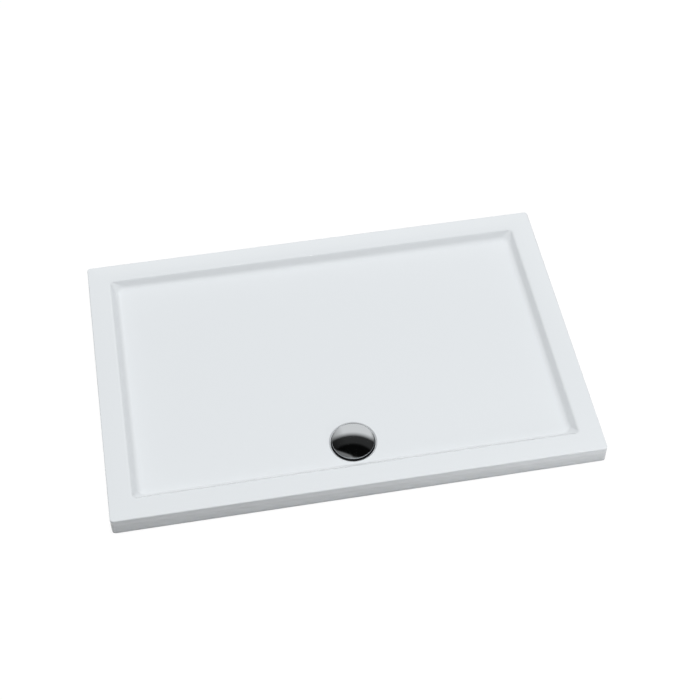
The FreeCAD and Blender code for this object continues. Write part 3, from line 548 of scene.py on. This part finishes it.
def zinc_plate():
    """Steel with a bright zinc plate: bluish silver, satin, a little yellow in patches."""
    material, tree, where = new_material("zinc_plate")
    # The patches are about 2.4 mm across.
    patches = add(tree, "ShaderNodeTexNoise", {"Vector": (where, "Object"), "Scale": 420, "Detail": 3})
    colour = add(tree, "ShaderNodeValToRGB", {"Fac": (patches, "Fac")},
                 stops=((0.35, linear("#B4B9C2")), (0.7, linear("#C9C4AE"))))
    satin = add(tree, "ShaderNodeMapRange", {"Value": (patches, "Fac"), "To Min": 0.22, "To Max": 0.42})
    shader = add(tree, "ShaderNodeBsdfPrincipled",
                 {"Base Color": (colour, 0), "Metallic": 1, "Roughness": (satin, 0)})
    finish_with(tree, shader)
    return material


# How far a moulded plastic's roughness goes to either side of its usual value.
ROUGHNESS_SPREAD = 0.08


def moulded_plastic(name, code, roughness, ior):
    """An injection moulded plastic: satin, with the fine grain of a spark-eroded mould and faint marks from
    handling."""
    material, tree, where = new_material(name)
    # The grain is drawn 0.4 mm wide, coarser than it is, to show. The marks are about 17 mm across.
    grain = add(tree, "ShaderNodeTexNoise", {"Vector": (where, "Object"), "Scale": 2500, "Detail": 2})
    bump = add(tree, "ShaderNodeBump", {"Strength": 0.25, "Distance": 0.03 * MM, "Height": (grain, "Fac")})
    marks = add(tree, "ShaderNodeTexNoise", {"Vector": (where, "Object"), "Scale": 60, "Detail": 4})
    satin = add(tree, "ShaderNodeMapRange", {"Value": (marks, "Fac"), "To Min": roughness - ROUGHNESS_SPREAD,
                                             "To Max": roughness + ROUGHNESS_SPREAD})
    shader = add(tree, "ShaderNodeBsdfPrincipled",
                 {"Base Color": linear(code), "IOR": ior, "Roughness": (satin, 0), "Normal": (bump, 0)})
    finish_with(tree, shader)
    return material


def dress(material, *nodes):
    """Gives CAD nodes that material in all their slots."""
    for node in nodes:
        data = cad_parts[node].data
        data.materials.clear()
        data.materials.append(material)


def put(piece, material, body, node):
    """Gives a new piece its material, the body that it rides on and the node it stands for."""
    piece.data.materials.append(material)
    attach(piece, body)
    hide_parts(node)


# ---------------------------------------------------------------- the object

# How a batten's grain is stretched: it changes 17 times more slowly along the piece than across it.
ALONG_X, ALONG_Y = (0.06, 1, 1), (1, 0.06, 1)
zinc = zinc_plate()
chrome = chrome_plate()
put(drawn_sheet(), cast_acrylic(), "tray", "tray_shell")
put(pressed_cover(), chrome, "cover", "cover_dome")
put(cross_head_screws(), zinc, "tray", "pad_screws")

dress(glass_fibre_laminate(), "laminate_backing", "board_laminate")
dress(particle_board(), "base_board")
dress(softwood("pine_along_the_length", ALONG_X), "rim_batten_front", "rim_batten_rear")
dress(softwood("pine_along_the_width", ALONG_Y), "rim_batten_left", "rim_batten_right")
dress(moulded_rubber("epdm_pad", "#1D1D1E"), *PADS)
dress(moulded_rubber("epdm_seal", "#131314"), "flange_gasket", "lower_gasket", "strainer_seal")
dress(moulded_plastic("polypropylene_black", "#17181A", 0.45, 1.49), "waste_flange", "back_nut")
dress(moulded_plastic("polypropylene_grey", "#4A4C4E", 0.5, 1.49), "strainer_basket", "cover_carrier")
dress(moulded_plastic("polyethylene_natural", "#E4E4DC", 0.4, 1.51), "slip_washer")
dress(zinc, "pad_screws")
dress(chrome, "cover_dome")

# ---------------------------------------------------------------- floor, light and camera

FLOOR_HALF = 9
CAMERA_PLACE = (-0.3718, -2.3124, 3.0101)
CAMERA_LOOK = (0.1086, 0.6131, -0.7825)
CAMERA_LENS = 76.66
SENSOR = 36
BLACK = (0, 0, 0, 1)
PAPER = (0.72, 0.72, 0.72, 1)
WHITE = (1, 1, 1, 1)

# The floor's glow, and the share of it that the camera sees in place of the lit floor.
GLOW = 1.1
GLOW_SHARE = 0.8

# How bright the studio is in reflections, at the heights that go from 0 at the horizon to 1 overhead.
BAND_LEVELS = ((0, 0.8), (0.36, 0.8), (0.39, 0.03), (0.502, 0.03), (0.516, 1.0), (0.7, 1.0), (0.735, 0.6),
               (0.772, 0.045), (0.86, 0.04), (0.885, 0.004), (0.975, 0.004), (0.985, 0.35))
# Where that changes from side to side: the axis, the start and end of the change, and the share at each.
BAND_FADES = (("X", -0.25, -0.02, 0.35, 1), ("X", 0.38, 0.5, 1, 0.1), ("Y", -0.2, 0.1, 0.1, 1))
# The card's level, the slant of its far edge, and where it fades out at the far edge, the right and below.
CARD_LEVEL = 0.25
CARD_SLANT = 0.7
CARD_FAR = (0.235, 0.27)
CARD_RIGHT = (0, 0.05)
CARD_LOW = (0.8, 0.85)


def studio_floor():
    """A plain pale floor. The camera sees it mostly as bright as paper, with the tray's faint shadow, but as
    dark as it is under the tray."""
    corners = np.array([(-1, -1, 0), (1, -1, 0), (1, 1, 0), (-1, 1, 0)], float) * FLOOR_HALF
    floor = mesh_object("studio_floor", corners, np.array([[0, 1, 2, 3]]))
    material, tree, where = new_material("studio_floor")
    path = add(tree, "ShaderNodeLightPath")
    paper = add(tree, "ShaderNodeBsdfDiffuse", {"Color": PAPER})
    glow = add(tree, "ShaderNodeEmission", {"Color": WHITE, "Strength": GLOW})
    place = add(tree, "ShaderNodeSeparateXYZ", {"Vector": (where, "Object")})
    away = [add(tree, "ShaderNodeMath", {0: (place, axis), 1: 0}, operation="ABSOLUTE") for axis in "XY"]
    beside = [add(tree, "ShaderNodeMath", {0: (far, 0), 1: float(half) - SHEET}, operation="GREATER_THAN")
              for far, half in zip(away, (HALF_LENGTH, HALF_WIDTH))]
    outside = add(tree, "ShaderNodeMath", {0: (beside[0], 0), 1: (beside[1], 0)}, operation="MAXIMUM")
    share = add(tree, "ShaderNodeMath", {0: (path, "Is Camera Ray"), 1: GLOW_SHARE}, operation="MULTIPLY")
    share = add(tree, "ShaderNodeMath", {0: (share, 0), 1: (outside, 0)}, operation="MULTIPLY")
    mixed = add(tree, "ShaderNodeMixShader", {"Fac": (share, 0), 1: (paper, 0), 2: (glow, 0)})
    finish_with(tree, mixed)
    floor.data.materials.append(material)


def studio_world():
    """White where the camera looks past the floor. Reflections see a pale band low round the studio, a dark
    gap, a bright band halfway up and a dark ceiling. All of it is dimmer to the left, on the far right and
    at the front. A grey card hangs overhead on the front left, and a faint lamp straight overhead."""
    world = bpy.data.worlds.new("studio")
    bpy.context.scene.world = world
    world.use_nodes = True
    tree = world.node_tree
    tree.nodes.clear()
    path = add(tree, "ShaderNodeLightPath")
    where = add(tree, "ShaderNodeTexCoord")
    axes = add(tree, "ShaderNodeSeparateXYZ", {"Vector": (where, "Generated")})
    band = add(tree, "ShaderNodeValToRGB", {"Fac": (axes, "Z")},
               stops=[(at, (level, level, level, 1)) for at, level in BAND_LEVELS])
    for axis, start, end, first, last in BAND_FADES:
        fade = add(tree, "ShaderNodeMapRange", {"Value": (axes, axis), "From Min": start, "From Max": end,
                                                "To Min": first, "To Max": last})
        band = add(tree, "ShaderNodeVectorMath", {0: (band, 0), 1: (fade, 0)}, operation="MULTIPLY")
    lean = add(tree, "ShaderNodeMath", {0: (axes, "X"), 1: CARD_SLANT, 2: (axes, "Y")},
               operation="MULTIPLY_ADD")
    near = add(tree, "ShaderNodeMapRange", {"Value": (lean, 0), "From Min": CARD_FAR[0],
                                            "From Max": CARD_FAR[1], "To Min": 1, "To Max": 0})
    left = add(tree, "ShaderNodeMapRange", {"Value": (axes, "X"), "From Min": CARD_RIGHT[0],
                                            "From Max": CARD_RIGHT[1], "To Min": 1, "To Max": 0})
    high = add(tree, "ShaderNodeMapRange", {"Value": (axes, "Z"), "From Min": CARD_LOW[0],
                                            "From Max": CARD_LOW[1]})
    card = add(tree, "ShaderNodeMath", {0: (near, 0), 1: (left, 0)}, operation="MULTIPLY")
    card = add(tree, "ShaderNodeMath", {0: (card, 0), 1: (high, 0)}, operation="MULTIPLY")
    card = add(tree, "ShaderNodeMath", {0: (card, 0), 1: CARD_LEVEL}, operation="MULTIPLY")
    seen = add(tree, "ShaderNodeVectorMath", {0: (band, 0), 1: (card, 0)}, operation="ADD")
    glossy = add(tree, "ShaderNodeMix", {"Factor": (path, "Is Glossy Ray"), COLOUR_A: BLACK,
                                         COLOUR_B: (seen, 0)}, data_type="RGBA")
    sky = add(tree, "ShaderNodeMix", {"Factor": (path, "Is Camera Ray"), COLOUR_A: (glossy, MIXED_COLOUR),
                                      COLOUR_B: WHITE}, data_type="RGBA")
    shine = add(tree, "ShaderNodeBackground", {"Color": (sky, MIXED_COLOUR), "Strength": 1})
    add(tree, "ShaderNodeOutputWorld", {"Surface": (shine, 0)})


def softbox(name, place, size, power):
    """A square lamp that looks from its place to the tray. It doesn't show in reflections."""
    light = bpy.data.lights.new(name, "AREA")
    light.shape = "SQUARE"
    light.size = size
    light.energy = power
    lamp = bpy.data.objects.new(name, light)
    lamp.location = place
    lamp.rotation_euler = (-Vector(place)).to_track_quat("-Z", "Y").to_euler()
    lamp.visible_glossy = False
    bpy.context.scene.collection.objects.link(lamp)


studio_floor()
studio_world()
softbox("overhead", place=(0.3, 0.2, 12), size=6, power=1545)
softbox("low_front_right", place=(1, -1.3, 0.25), size=0.4, power=3.2)

lens = bpy.data.cameras.new("camera")
lens.lens = CAMERA_LENS
lens.sensor_width = SENSOR
camera = bpy.data.objects.new("camera", lens)
camera.location = CAMERA_PLACE
camera.rotation_euler = Vector(CAMERA_LOOK).to_track_quat("-Z", "Y").to_euler()
bpy.context.scene.collection.objects.link(camera)
bpy.context.scene.camera = camera
bpy.context.scene.view_settings.view_transform = "Standard"
